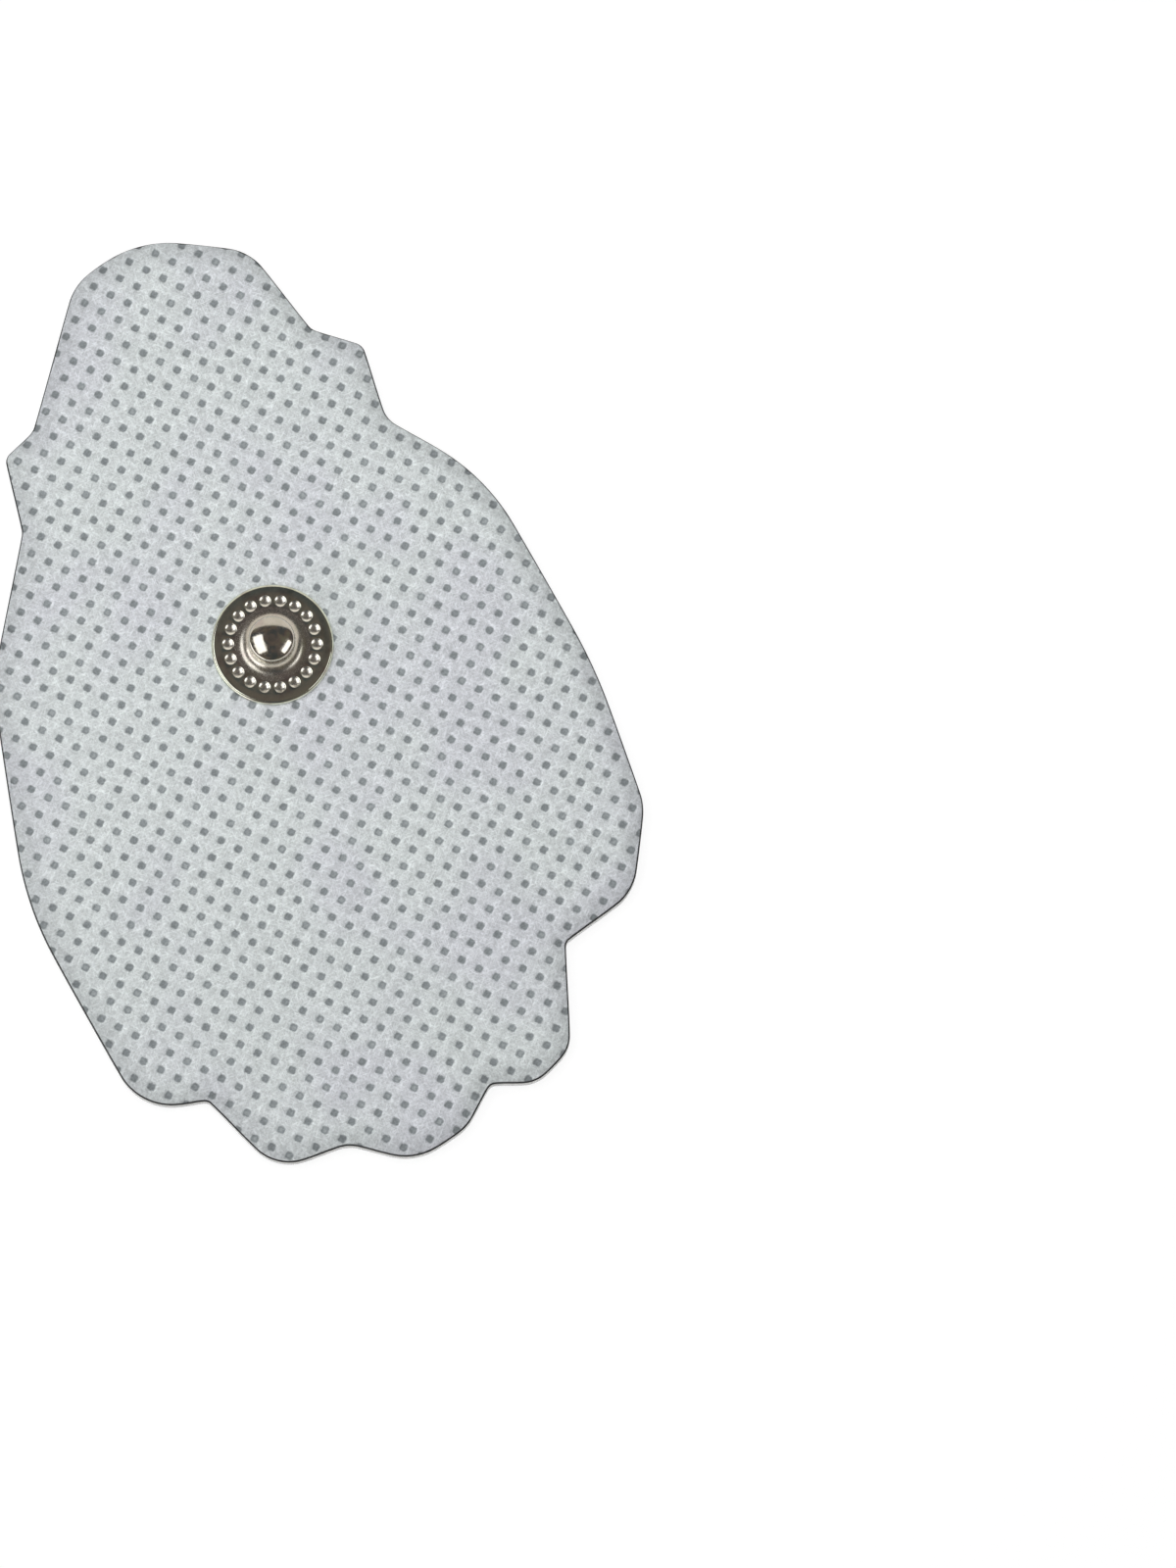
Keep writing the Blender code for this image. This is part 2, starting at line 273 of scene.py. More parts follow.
def top_loops(node: Object) -> list[np.ndarray]:
    """The loops round the flat top of a solid, the longest first, counter-clockwise.

    Args:
        node: A sheet of the frame.

    Returns:
        An array of points for each loop.
    """
    mesh = merged_copy(node)
    top = max(vertex.co.z for vertex in mesh.vertices)
    uses: dict[tuple[int, int], int] = {}
    for polygon in mesh.polygons:
        if all(mesh.vertices[i].co.z > top - MERGE_DISTANCE for i in polygon.vertices):
            for a, b in polygon.edge_keys:
                uses[(a, b)] = uses.get((a, b), 0) + 1
    joined: dict[int, list[int]] = {}
    for (a, b), count in uses.items():
        if count == 1:
            joined.setdefault(a, []).append(b)
            joined.setdefault(b, []).append(a)
    loops = []
    while joined:
        first = next(iter(joined))
        loop, here = [first], first
        while joined.get(here):
            ahead = joined.pop(here)
            following = [i for i in ahead if i in joined]
            if not following:
                break
            here = following[0]
            loop.append(here)
        joined.pop(here, None)
        points = np.array([mesh.vertices[i].co.xy for i in loop])
        loops.append(points if loop_area(points) > 0 else points[::-1])
    bpy.data.meshes.remove(mesh)
    return sorted(loops, key=loop_area, reverse=True)


def loop_area(points: np.ndarray) -> float:
    """The area inside a loop, positive where it runs counter-clockwise."""
    ahead = np.roll(points, -1, axis=0)
    return float((points[:, 0] * ahead[:, 1] - points[:, 1] * ahead[:, 0]).sum() / 2)


@dataclass
class Outline:
    """The die-cut outline of the pad.

    Args:
        corners: The facets' corners, counter-clockwise.
        rounds: How many times the corners are cut to smooth the facets.
    """

    corners: np.ndarray
    rounds: int = 2

    def smooth(self) -> np.ndarray:
        """The outline with its facets rounded off, always just inside the solid's own."""
        points = self.corners
        for _ in range(self.rounds):
            ahead = np.roll(points, -1, axis=0)
            cut = np.stack([0.75 * points + 0.25 * ahead, 0.25 * points + 0.75 * ahead], axis=1)
            points = cut.reshape(-1, 2)
        return points

    def inset(self, distance: float) -> np.ndarray:
        """The smooth outline moved inwards by a distance."""
        points = self.smooth()
        back = points - np.roll(points, 1, axis=0)
        ahead = np.roll(points, -1, axis=0) - points
        back /= np.linalg.norm(back, axis=1)[:, None]
        ahead /= np.linalg.norm(ahead, axis=1)[:, None]
        tangent = back + ahead
        tangent /= np.linalg.norm(tangent, axis=1)[:, None]
        inwards = np.stack([-tangent[:, 1], tangent[:, 0]], axis=1)
        reach = distance / (tangent * ahead).sum(axis=1)
        return points + inwards * reach[:, None]


def edge_distance(points: np.ndarray, loop: np.ndarray, chunk: int = 4000) -> np.ndarray:
    """How far points lie inside a loop; those outside are negative.

    Args:
        points: The points to measure.
        loop: The loop's corners.
        chunk: How many points are measured at a time, to save memory.

    Returns:
        A distance for each point.
    """
    start, step = loop, np.roll(loop, -1, axis=0) - loop
    found = []
    for first in range(0, len(points), chunk):
        here = points[first : first + chunk, None, :]
        along = ((here - start) * step).sum(axis=2) / (step**2).sum(axis=1)
        nearest = start + np.clip(along, 0, 1)[:, :, None] * step
        away = np.linalg.norm(here - nearest, axis=2).min(axis=1)
        above = here[:, :, 1] >= start[:, 1]
        crosses = above != (here[:, :, 1] >= (start + step)[:, 1])
        rise = np.where(step[:, 1] == 0, 1.0, step[:, 1])
        at = start[:, 0] + (here[:, :, 1] - start[:, 1]) / rise * step[:, 0]
        inside = (crosses & (here[:, :, 0] < at)).sum(axis=1) % 2 == 1
        found.append(np.where(inside, away, -away))
    return np.concatenate(found)


def smoothstep(value: np.ndarray, low: float, high: float) -> np.ndarray:
    """A smooth step from 0 where the value is low to 1 where it is high."""
    share = np.clip((value - low) / (high - low), 0.0, 1.0)
    return share * share * (3.0 - 2.0 * share)


# Modelling steps


def new_object(name: str, data: object) -> Object:
    """Put an object with its data into the scene."""
    obj = bpy.data.objects.new(name, data)
    bpy.context.scene.collection.objects.link(obj)
    return obj


def deselect_all() -> None:
    """Leave no object selected."""
    for obj in bpy.context.selected_objects:
        obj.select_set(False)


def select_only(*objects: Object) -> None:
    """Select these objects and no other, with the first of them active."""
    deselect_all()
    for obj in objects:
        obj.select_set(True)
    bpy.context.view_layer.objects.active = objects[0]


def enter_edit(obj: Object) -> None:
    """Open one object in edit mode."""
    select_only(obj)
    bpy.ops.object.mode_set(mode="EDIT")


def leave_edit() -> None:
    """Go back to object mode."""
    bpy.ops.object.mode_set(mode="OBJECT")


def select_edges(obj: Object, wanted: Callable[[Vector], bool]) -> None:
    """In edit mode, select only the edges whose two ends both pass a test of their place."""
    bpy.ops.mesh.select_mode(type="EDGE")
    bpy.ops.mesh.select_all(action="DESELECT")
    leave_edit()
    vertices = obj.data.vertices
    for edge in obj.data.edges:
        edge.select = all(wanted(vertices[i].co) for i in edge.vertices)
    bpy.ops.object.mode_set(mode="EDIT")


def apply_modifier(obj: Object, kind: str, **settings: object) -> None:
    """Add a modifier and apply it at once."""
    select_only(obj)
    modifier = obj.modifiers.new(kind.lower(), kind)
    for key, value in settings.items():
        setattr(modifier, key, value)
    bpy.ops.object.modifier_apply(modifier=modifier.name)


def face_outwards() -> None:
    """In edit mode, turn all the faces outwards, then go back to object mode."""
    bpy.ops.mesh.select_all(action="SELECT")
    bpy.ops.mesh.normals_make_consistent(inside=False)
    leave_edit()


def settle(obj: Object) -> None:
    """Put the object's place into its mesh."""
    obj.data.transform(obj.matrix_basis)
    obj.matrix_basis = Matrix.Identity(4)


def smooth_by_angle(obj: Object, degrees: float) -> None:
    """Shade smooth, with edges sharper than an angle kept."""
    select_only(obj)
    bpy.ops.object.shade_smooth_by_angle(angle=math.radians(degrees))


def hand_over(obj: Object, name: str, material: Material, layer: Layer) -> Object:
    """Name a finished piece, dress it, and hide the solid that it replaces.

    Args:
        obj: The piece, in place.
        name: Its name.
        material: Its finish.
        layer: The solid that it replaces.

    Returns:
        The piece.
    """
    obj.name = obj.data.name = name
    obj.data.materials.clear()
    obj.data.materials.append(material)
    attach(obj, ROOT)
    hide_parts(layer.value)
    log.info("%s: %d faces", name, len(obj.data.polygons))
    return obj


# Finishes


@dataclass(frozen=True)
class NonwovenFinish:
    """White point-bonded nonwoven: matt fibres, with grey see-through bond pits."""

    lattice: Lattice
    fibre: Colour = (0.712, 0.752, 0.754)
    cool_patch: Colour = (0.690, 0.708, 0.745)
    bond: Colour = (0.245, 0.268, 0.277)
    bond_middle: Colour = (0.345, 0.372, 0.380)
    # Where the painted highlight round each bond pit starts and ends, from the bond's edge
    bond_edge: Pair = (-0.09 * MM, 0.07 * MM)
    lip_highlight_edge: Pair = (0.03 * MM, 0.28 * MM)
    middle_edge: float = 0.06 * MM
    wobble: float = 0.19
    wobble_grain: float = 0.24 * MM
    fibre_directions: tuple[float, ...] = (0.15, 0.95, 1.75, 2.55)
    fibre_stretch: float = 7.0
    fibre_grain: float = 0.095 * MM
    fibre_step: float = 0.015 * MM
    cloud_grain: float = 0.55 * MM
    speck_grain: float = 0.20 * MM
    patch_grain: float = 11.0 * MM
    relief: float = 0.03 * MM
    # How far in from the cut edge the painted shade reaches, and how dark it is at the edge
    edge_shade_reach: float = 2.3 * MM
    painted_edge_shade: float = 0.18

    def bond_cell(self, graph: Graph, point: object) -> tuple:
        """The nodes that place a point on the bond lattice.

        Args:
            graph: The material's graph.
            point: The point of the surface.

        Returns:
            The distance from the nearest bond's middle in metres, and a random number for that bond.
        """
        rows = np.linalg.inv(self.lattice.matrix())
        start = np.array(self.lattice.nearest_snap)
        pitches = (self.lattice.pitch_across, self.lattice.pitch_along)
        wobble = graph.fade(graph.noise(point, self.wobble_grain, 3.0), self.wobble, -self.wobble / 2)
        powers, numbers = [], []
        for row, pitch in zip(rows, pitches):
            cell = graph.minus(graph.dot(point, (row[0], row[1], 0.0)), float(row @ start))
            number = graph.math("ROUND", cell)
            off = graph.times(graph.minus(cell, number), pitch / MM)
            powers.append(graph.math("POWER", graph.math("ABSOLUTE", off), self.lattice.roundness))
            numbers.append(number)
        distance = graph.math("POWER", graph.math("ADD", *powers), 1.0 / self.lattice.roundness)
        distance = graph.times(graph.math("ADD", distance, wobble), MM)
        chance = graph.add("ShaderNodeTexWhiteNoise", {"Vector": graph.flat(*numbers)}).outputs["Value"]
        return distance, chance

    def fibres(self, graph: Graph, point: object) -> Socket:
        """Crossed fibres: stretched noise laid in several directions, the highest on top."""
        lays = []
        for index, angle in enumerate(self.fibre_directions):
            turned = graph.turned(point, angle, self.fibre_stretch)
            lays.append(graph.noise(turned, self.fibre_grain + self.fibre_step * index, 1.0))
        highest = lays[0]
        for lay in lays[1:]:
            highest = graph.math("MAXIMUM", highest, lay)
        return graph.between(highest, 0.45, 0.80)

    def material(self) -> Material:
        """The finished material."""
        graph = Graph("white nonwoven")
        point = graph.place()
        distance, chance = self.bond_cell(graph, point)
        half = self.lattice.half_width
        bond = graph.minus(1.0, graph.between(distance, *[half + edge for edge in self.bond_edge]))
        # Painted highlight: a lighter ring round each bond pit's lip
        lip_highlight = graph.minus(1.0, graph.between(distance, *[half + edge for edge in self.lip_highlight_edge]))
        middle = graph.minus(1.0, graph.between(distance, self.middle_edge, half - self.middle_edge))
        fibres = self.fibres(graph, point)
        cloud = graph.between(graph.noise(point, self.cloud_grain, 3.0), 0.30, 0.70)
        speck = graph.between(graph.noise(point, self.speck_grain), 0.30, 0.70)
        patch = graph.between(graph.noise(point, self.patch_grain), 0.42, 0.68)

        land = graph.mix(patch, rgba(self.fibre), rgba(self.cool_patch))
        shade = graph.fade(cloud, 0.15, 0.905)
        for value, share, start in ((speck, 0.19, 0.905), (fibres, 0.30, 0.83), (lip_highlight, 0.09, 1.0)):
            shade = graph.times(shade, graph.fade(value, share, start))
        land = self.shaded(graph, land, shade)

        light = graph.times(middle, graph.between(chance, 0.30, 1.2))
        pressed = graph.mix(light, rgba(self.bond), rgba(self.bond_middle))
        pressed = self.shaded(graph, pressed, graph.fade(speck, 0.34, graph.fade(chance, 0.12, 0.82)))

        # Painted shade: the face grows darker towards the cut edge, where the sheet rolls down
        inset = graph.add("ShaderNodeAttribute", attribute_name=INSET).outputs["Fac"]
        from_cut_edge = graph.between(inset, 0.0, self.edge_shade_reach)
        edge_shade = graph.fade(from_cut_edge, self.painted_edge_shade, 1.0 - self.painted_edge_shade)
        colour = self.shaded(graph, graph.mix(bond, land, pressed), edge_shade)

        relief = graph.times(fibres, graph.fade(bond, -0.75, 1.0))
        relief = graph.math("ADD", relief, graph.times(cloud, 0.7))
        graph.set(base_color=colour, roughness=graph.fade(bond, -0.30, 0.92))
        graph.set(normal=graph.bump(relief, self.relief))
        graph.set(sheen_weight=0.08, sheen_roughness=0.5, specular_ior_level=0.25)
        return graph.material

    @staticmethod
    def shaded(graph: Graph, colour: object, share: object) -> Socket:
        """A colour made lighter or darker by a share."""
        grey = graph.add("ShaderNodeCombineColor", {0: share, 1: share, 2: share}).outputs[0]
        return graph.mix(1.0, colour, grey, "MULTIPLY")


@dataclass(frozen=True)
class PearlRing:
    """The ring of round dents pressed into the stud's flange, the first at an angle in degrees."""

    count: int = 18
    circle: float = 3.73 * MM
    start: float = 68.0
    radius: float = 0.50 * MM
    depth: float = 0.115 * MM
    roundness: float = 2.2


@dataclass(frozen=True)
class NickelFinish:
    """Bright nickel plate with a warm cast and uneven tarnish, duller round the neck and in the dents."""

    name: str = "nickel plate"
    metal: Colour = (0.66, 0.625, 0.56)
    flange: Colour = (0.76, 0.79, 0.67)
    olive: Colour = (0.50, 0.50, 0.40)
    plum: Colour = (0.52, 0.44, 0.42)
    burnished: Colour = (0.90, 0.88, 0.80)
    roughness: float = 0.09
    dull: float = 0.13
    dull_radius: float = 3.2 * MM
    dull_height: float = 3.4 * MM
    dent_dull: float = 0.11
    collar_edge: float = 0.1 * MM
    collar_fade: float = 0.2 * MM
    flange_edge: float = 0.3 * MM
    dent_edge: Pair = (0.03 * MM, -0.05 * MM)
    stain_strength: float = 0.75
    stain_grain: float = 1.3 * MM
    cast_grain: float = 1.9 * MM
    speck_grain: float = 0.22 * MM
    relief_grain: float = 0.10 * MM
    relief: float = 0.0015 * MM
    pearls: PearlRing = PearlRing()

    @staticmethod
    def polar(graph: Graph, point: object) -> tuple[bpy.types.Node, Socket]:
        """A point's three coordinates, and its distance from the snap's axis."""
        split = graph.add("ShaderNodeSeparateXYZ", {0: point})
        return split, graph.length(graph.flat(split.outputs[0], split.outputs[1]))

    def collar(self, graph: Graph, point: object) -> Socket:
        """Where the metal is dull: inside a radius, and below a height."""
        split, radius = self.polar(graph, point)
        edge, fade = self.collar_edge, self.collar_fade
        near = graph.between(radius, self.dull_radius + edge, self.dull_radius - edge)
        low = graph.between(split.outputs[2], self.dull_height + fade, self.dull_height - fade)
        return graph.times(near, low)

    def dent(self, graph: Graph, point: object) -> Socket:
        """Where the pressed dents are: 1 inside them, 0 outside."""
        pearls = self.pearls
        split, radius = self.polar(graph, point)
        angle = graph.math("ARCTAN2", split.outputs[1], split.outputs[0])
        step = 2 * math.pi / pearls.count
        turned = graph.math("DIVIDE", graph.minus(angle, math.radians(pearls.start)), step)
        off = graph.times(graph.minus(turned, graph.math("ROUND", turned)), step)
        across = graph.times(off, radius)
        along = graph.minus(radius, pearls.circle)
        distance = graph.length(graph.flat(across, along))
        return graph.between(distance, *[pearls.radius + edge for edge in self.dent_edge])

    def material(self) -> Material:
        """The finished material."""
        graph = Graph(self.name)
        point = graph.place()
        stain = graph.between(graph.noise(point, self.stain_grain, 4.0), 0.42, 0.70)
        cast = graph.between(graph.noise(point, self.cast_grain, 3.0), 0.40, 0.60)
        speck = graph.between(graph.noise(point, self.speck_grain, 3.0), 0.35, 0.70)
        tarnish = graph.mix(cast, rgba(self.olive), rgba(self.plum))
        radius = self.polar(graph, point)[1]
        outer = graph.between(radius, self.dull_radius, self.dull_radius + self.flange_edge)
        metal = graph.mix(outer, rgba(self.metal), rgba(self.flange))
        colour = graph.mix(graph.times(stain, self.stain_strength), metal, tarnish)
        dent = self.dent(graph, point)
        colour = graph.mix(dent, colour, rgba(self.burnished))
        rough = graph.fade(speck, 0.07, self.roughness)
        rough = graph.fade(self.collar(graph, point), self.dull, rough)
        rough = graph.fade(dent, self.dent_dull, rough)
        grain = graph.noise(point, self.relief_grain, 3.0)
        graph.set(base_color=colour, roughness=rough, normal=graph.bump(grain, self.relief), metallic=1.0)
        return graph.material


@dataclass(frozen=True)
class SheetFinish:
    """The finish of a plain sheet: two tones in soft patches, a fine relief, and clear where asked.

    Args:
        name: The material's name.
        first: The first tone.
        second: The second tone.
        grain: The size of the patches.
        blend: Where in the patches the first tone starts to give way, and where the second is reached.
        roughness: The least roughness.
        uneven: How much rougher the patches make it.
        relief: The depth of the relief.
        skin: The size of a relief of its own, or 0 where the patches are the relief.
        clear: How much light passes through.
        ior: The index of refraction.
    """

    name: str
    first: Colour
    second: Colour
    grain: float
    blend: Pair
    roughness: float
    uneven: float
    relief: float
    skin: float = 0.0
    clear: float = 0.0
    ior: float = 1.5

    def material(self) -> Material:
        """The finished material."""
        graph = Graph(self.name)
        point = graph.place()
        patches = graph.noise(point, self.grain, 3.0)
        skin = graph.noise(point, self.skin) if self.skin else patches
        colour = graph.mix(graph.between(patches, *self.blend), rgba(self.first), rgba(self.second))
        rough = graph.fade(patches, self.uneven, self.roughness)
        graph.set(base_color=colour, roughness=rough, normal=graph.bump(skin, self.relief))
        graph.set(transmission_weight=self.clear, ior=self.ior)
        return graph.material


CARBON = SheetFinish(
    "carbon film",
    first=(0.018, 0.018, 0.020),
    second=(0.045, 0.045, 0.048),
    grain=0.15 * MM,
    blend=(0.45, 0.75),
    roughness=0.45,
    uneven=0.2,
    relief=0.004 * MM,
)
HYDROGEL = SheetFinish(
    "hydrogel",
    first=(0.93, 0.93, 0.89),
    second=(0.80, 0.80, 0.76),
    grain=2.5 * MM,
    blend=(0.4, 0.7),
    roughness=0.10,
    uneven=0.18,
    relief=0.02 * MM,
    skin=0.5 * MM,
    clear=0.45,
    ior=1.38,
)
RELEASE_FILM = SheetFinish(
    "release liner",
    first=(0.93, 0.95, 0.95),
    second=(0.93, 0.95, 0.95),
    grain=4.0 * MM,
    blend=(0.4, 0.7),
    roughness=0.06,
    uneven=0.12,
    relief=0.02 * MM,
    clear=0.85,
)
WHITE_PATCH = SheetFinish(
    "white patch",
    first=(0.78, 0.78, 0.76),
    second=(0.70, 0.70, 0.68),
    grain=0.3 * MM,
    blend=(0.3, 0.8),
    roughness=0.5,
    uneven=0.0,
    relief=0.005 * MM,
)


# The pad's layers


@dataclass
class Slab:
    """One plain layer cut to the outline: a plate with softened edges, and holes where needed.

    Args:
        outline: The pad's outline.
        bottom: The height of its underside.
        top: The height of its face.
        soft: How far its edges are rounded.
        steps: The facets of that rounding.
        hole: The radius of a hole or pocket on the snap's axis, or 0 for none.
        hole_floor: The height that the hole goes down to.
    """

    outline: Outline
    bottom: float
    top: float
    soft: float
    steps: int = 2
    hole: float = 0.0
    hole_floor: float = -1.0 * MM
    hole_sides: int = 96
    smooth: float = 40.0

    def build(self) -> Object:
        """Model the layer from a ring of edges."""
        loop = self.outline.smooth()
        deselect_all()
        bpy.ops.mesh.primitive_circle_add(vertices=len(loop), fill_type="NGON")
        plate = bpy.context.object
        for vertex, (x, y) in zip(plate.data.vertices, loop):
            vertex.co = (x, y, self.bottom)
        enter_edit(plate)
        bpy.ops.mesh.select_all(action="SELECT")
        rise = (0.0, 0.0, self.top - self.bottom)
        bpy.ops.mesh.extrude_region_move(TRANSFORM_OT_translate={"value": rise})
        for height in (self.bottom, self.top):
            select_edges(plate, lambda co, z=height: abs(co.z - z) < MERGE_DISTANCE)
            bpy.ops.mesh.bevel(offset=self.soft, segments=self.steps, affect="EDGES")
        face_outwards()
        if self.hole:
            self.cut(plate)
        smooth_by_angle(plate, self.smooth)
        return plate

    def cut(self, plate: Object) -> None:
        """Cut the hole on the snap's axis."""
        depth = 2 * (self.top - self.hole_floor)
        deselect_all()
        place = (0.0, 0.0, self.top)
        bpy.ops.mesh.primitive_cylinder_add(
            vertices=self.hole_sides, radius=self.hole, depth=depth, location=place
        )
        cutter = bpy.context.object
        apply_modifier(plate, "BOOLEAN", object=cutter, operation="DIFFERENCE", solver="EXACT")
        bpy.data.objects.remove(cutter)


@dataclass
class FabricFace:
    """The embossed nonwoven: one sheet with a pit at each bond, rolled down at its cut edge.

    Args:
        outline: The pad's outline.
        lattice: The lattice of bonds.
        bottom: The height of the film that it is stuck to.
        top: The height of its face.
        rim_height: The height of the stud's rim, which the fabric swells up to.
        rim_radius: The radius of that rim.
        hole: The radius of the hole for the snap's post.
        inset: How far the sheet's cut edge lies inside the outline.
        pit_wall: Where the pit's wall starts and ends, from the bond's middle.
        swell_reach: Where the land's swell starts and ends, from the bond's middle.
        collar_reach: How far outside the rim the swell up to it is full, and where it starts.
        rim_blend: How far from the rim the flat part under the flange ends, and the relief is whole.
        rings: How far inside the cut edge the extra rings of points lie.
        sunk: How far under the face's height the flat part under the flange lies.
        lines: Where mesh lines cross a cell, in shares of its pitch, close together on the pit's wall.
    """

    outline: Outline
    lattice: Lattice
    bottom: float
    top: float
    rim_height: float
    rim_radius: float
    hole: float
    inset: float = 0.12 * MM
    pit_depth: float = 0.21 * MM
    pit_wall: Pair = (0.27 * MM, 0.44 * MM)
    swell: float = 0.05 * MM
    swell_reach: Pair = (0.44 * MM, 0.85 * MM)
    wave: float = 0.030 * MM
    wave_length: float = 5.0 * MM
    collar_reach: Pair = (0.25 * MM, 1.5 * MM)
    rim_blend: Pair = (-0.3 * MM, 0.5 * MM)
    edge_drop: float = 0.17 * MM
    edge_roll: float = 1.30 * MM
    rings: tuple[float, ...] = (0.07 * MM, 0.17 * MM)
    clear_of_rings: float = 0.26 * MM
    clear_of_hole: float = 0.05 * MM
    sunk: float = 0.01 * MM
    lines: tuple[float, ...] = (-0.385, -0.275, -0.205, -0.11, 0.11, 0.205, 0.275, 0.385)
    smooth: float = 50.0

    def lattice_points(self) -> np.ndarray:
        """The mesh points of every cell that reaches the pad."""
        loop = self.outline.smooth()
        cells = self.lattice.cells(loop)
        low, high = np.floor(cells.min(axis=0)).astype(int), np.ceil(cells.max(axis=0)).astype(int)
        across = np.add.outer(np.arange(low[0], high[0] + 1), self.lines).ravel()
        along = np.add.outer(np.arange(low[1], high[1] + 1), self.lines).ravel()
        grid = np.stack(np.meshgrid(across, along, indexing="ij"), axis=-1).reshape(-1, 2)
        return grid @ self.lattice.matrix().T + np.array(self.lattice.nearest_snap)

    def heights(self, points: np.ndarray, inside: np.ndarray) -> np.ndarray:
        """The height of the fabric's face.

        Args:
            points: Places on the pad.
            inside: How far each lies inside the fabric's edge.

        Returns:
            A height for each point.
        """
        from_bond = self.lattice.from_bond(points)
        pit = 1.0 - smoothstep(from_bond, *self.pit_wall)
        puff = smoothstep(from_bond, *self.swell_reach)
        waves = np.array([noise.noise(Vector((x, y, 0.0)) / self.wave_length) for x, y in points])
        from_rim = np.linalg.norm(points, axis=1) - self.rim_radius
        collar = (self.rim_height - self.top) * (1.0 - smoothstep(from_rim, *self.collar_reach))
        roll = np.clip(1.0 - inside / self.edge_roll, 0.0, 1.0) ** 2
        under_rim = 1.0 - smoothstep(from_rim, *self.rim_blend)
        face = self.top - self.swell * (1.0 - puff) - self.pit_depth * pit + self.wave * waves
        flat = face * (1.0 - under_rim) + (self.top - self.sunk) * under_rim
        return flat + collar - self.edge_drop * roll

    def build(self) -> Object:
        """Make the sheet: its face follows the lattice, and its underside is flat."""
        edge = self.outline.inset(self.inset)
        turn = np.linspace(0.0, 2 * math.pi, BORE_SIDES, endpoint=False)
        hole = self.hole * np.stack([np.cos(turn), np.sin(turn)], axis=1)
        inner = [self.outline.inset(self.inset + ring) for ring in self.rings]
        grid = self.lattice_points()
        keep = edge_distance(grid, edge) > self.clear_of_rings
        keep &= np.linalg.norm(grid, axis=1) > self.hole + self.clear_of_hole
        points = np.concatenate([edge, hole, *inner, grid[keep]])
        loops = [np.arange(len(edge)), len(edge) + np.arange(len(hole))]
        edges = [(int(a), int(b)) for loop in loops for a, b in zip(loop, np.roll(loop, -1))]
        coords = [Vector(point) for point in points / MM]
        flat, _, faces, origin, _, _ = delaunay_2d_cdt(coords, edges, [], 1, 1e-6)
        places = np.array(flat) * MM
        tops = [tuple(face) for face in faces if self.clear_of_bore(places[list(face)])]
        inside = np.maximum(edge_distance(places, edge), 0.0)
        upper = np.column_stack([places, self.heights(places, inside)])
        newer = {int(old[0]): new for new, old in enumerate(origin) if len(old)}
        rim = [newer[int(i)] for i in loops[0]]
        bore = [newer[int(i)] for i in loops[1]][::-1]
        sheet = self.close(upper, tops, [rim, bore])
        self.keep_inset(sheet, inside)
        return sheet

    def clear_of_bore(self, corners: np.ndarray) -> bool:
        """Whether a triangle lies outside the hole for the snap's post."""
        inner = self.hole * math.cos(math.pi / BORE_SIDES)
        return bool(np.linalg.norm(corners.mean(axis=0)) > inner)

    @staticmethod
    def keep_inset(sheet: Object, inside: np.ndarray) -> None:
        """Keep how far the face's points lie inside the cut edge, for the finish's painted edge shade."""
        values = np.zeros(len(sheet.data.vertices), dtype=np.float32)
        values[: len(inside)] = inside
        sheet.data.attributes.new(INSET, "FLOAT", "POINT").data.foreach_set("value", values)

    def close(self, upper: np.ndarray, tops: list, loops: list) -> Object:
        """Add the cut edges and the underside to the face.

        Args:
            upper: The face's points.
            tops: The face's triangles.
            loops: The loops round its edge and its hole.

        Returns:
            The sheet as an object.
        """
        count = len(upper)
        lower, walls, below = [], [], []
        for loop in loops:
            first = count + len(lower)
            lower += [(upper[i][0], upper[i][1], self.bottom) for i in loop]
            size = len(loop)
            below.append([first + k for k in range(size)])
            for k in range(size):
                ahead = (k + 1) % size
                walls.append((loop[k], first + k, first + ahead, loop[ahead]))
        flat_points = [Vector(point[:2]) / MM for point in lower]
        ring_edges = [
            (loop[k] - count, loop[(k + 1) % len(loop)] - count) for loop in below for k in range(len(loop))
        ]
        _, _, faces, origin, _, _ = delaunay_2d_cdt(flat_points, ring_edges, [], 1, 1e-6)
        bottoms = []
        for face in faces:
            ids = [origin[i][0] + count for i in face]
            if self.clear_of_bore(np.array([lower[i - count][:2] for i in ids])):
                bottoms.append(tuple(reversed(ids)))
        mesh = bpy.data.meshes.new("fabric_face")
        mesh.from_pydata([tuple(point) for point in upper] + lower, [], tops + walls + bottoms)
        sheet = new_object("fabric_face", mesh)
        enter_edit(sheet)
        face_outwards()
        smooth_by_angle(sheet, self.smooth)
        return sheet


# The snap


def arc(centre: Pair, radius: float, start: float, end: float, steps: int) -> list[Pair]:
    """Points of an arc in the section, both ends included, angles in degrees."""
    found = []
    for index in range(steps + 1):
        angle = math.radians(start + (end - start) * index / steps)
        found.append((centre[0] + radius * math.cos(angle), centre[1] + radius * math.sin(angle)))
    return found


